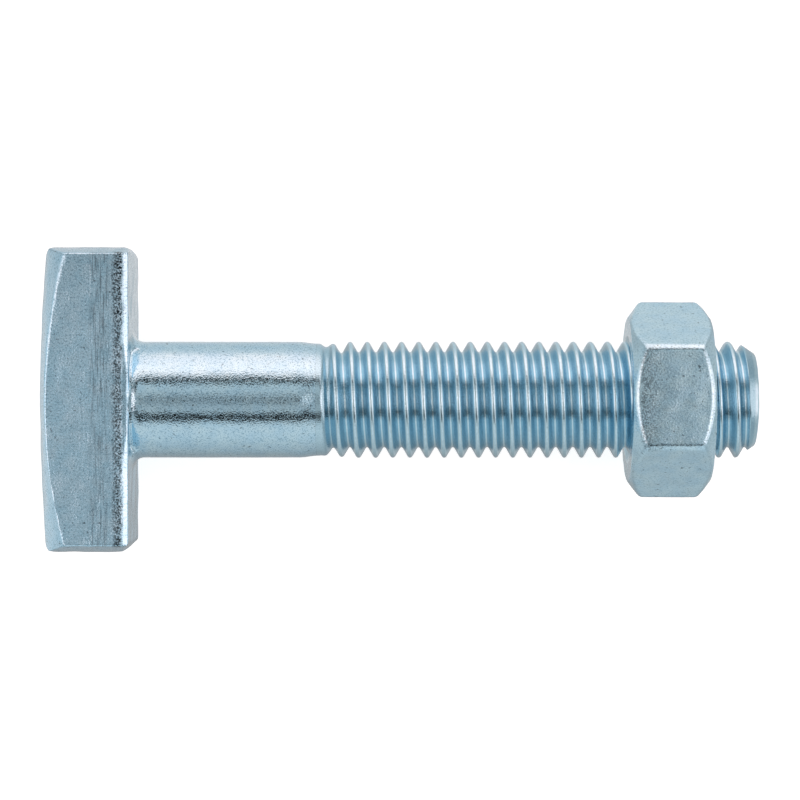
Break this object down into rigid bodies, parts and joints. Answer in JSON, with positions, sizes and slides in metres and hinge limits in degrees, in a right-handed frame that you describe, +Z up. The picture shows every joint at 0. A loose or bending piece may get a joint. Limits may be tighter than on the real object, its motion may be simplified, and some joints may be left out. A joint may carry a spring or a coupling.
{
  "type": "t slot bolt",
  "caption": "T-slot bolt: a rectangular forged head with rounded ends and a crowned top, a half-threaded round shank, and a hexagon nut run on near the tip.",
  "frame": {"origin": "on the bolt's axis, in the plane of the head's bearing face", "axes": "+X along the bolt's axis from the head to the threaded tip, +Y along the head, +Z up across the head; the bolt lies on one long side of its head, and turned for use the slot runs along Z"},
  "size_m": [0.0728, 0.0312, 0.0178],
  "materials": {
    "bolt_zinc": "forged and rolled steel, blue-passivated zinc plating",
    "nut_zinc": "cold-formed steel, blue-passivated zinc plating"
  },
  "bodies": {
    "bolt": {"t_head_bolt": "bolt_zinc"},
    "nut": {"hex_nut": "nut_zinc"}
  },
  "joints": [
    {"name": "nut_travel", "type": "slide", "parent": "bolt", "child": "nut", "axis": [1, 0, 0], "range_m": [-0.02975, 0.0105]}
  ]
}
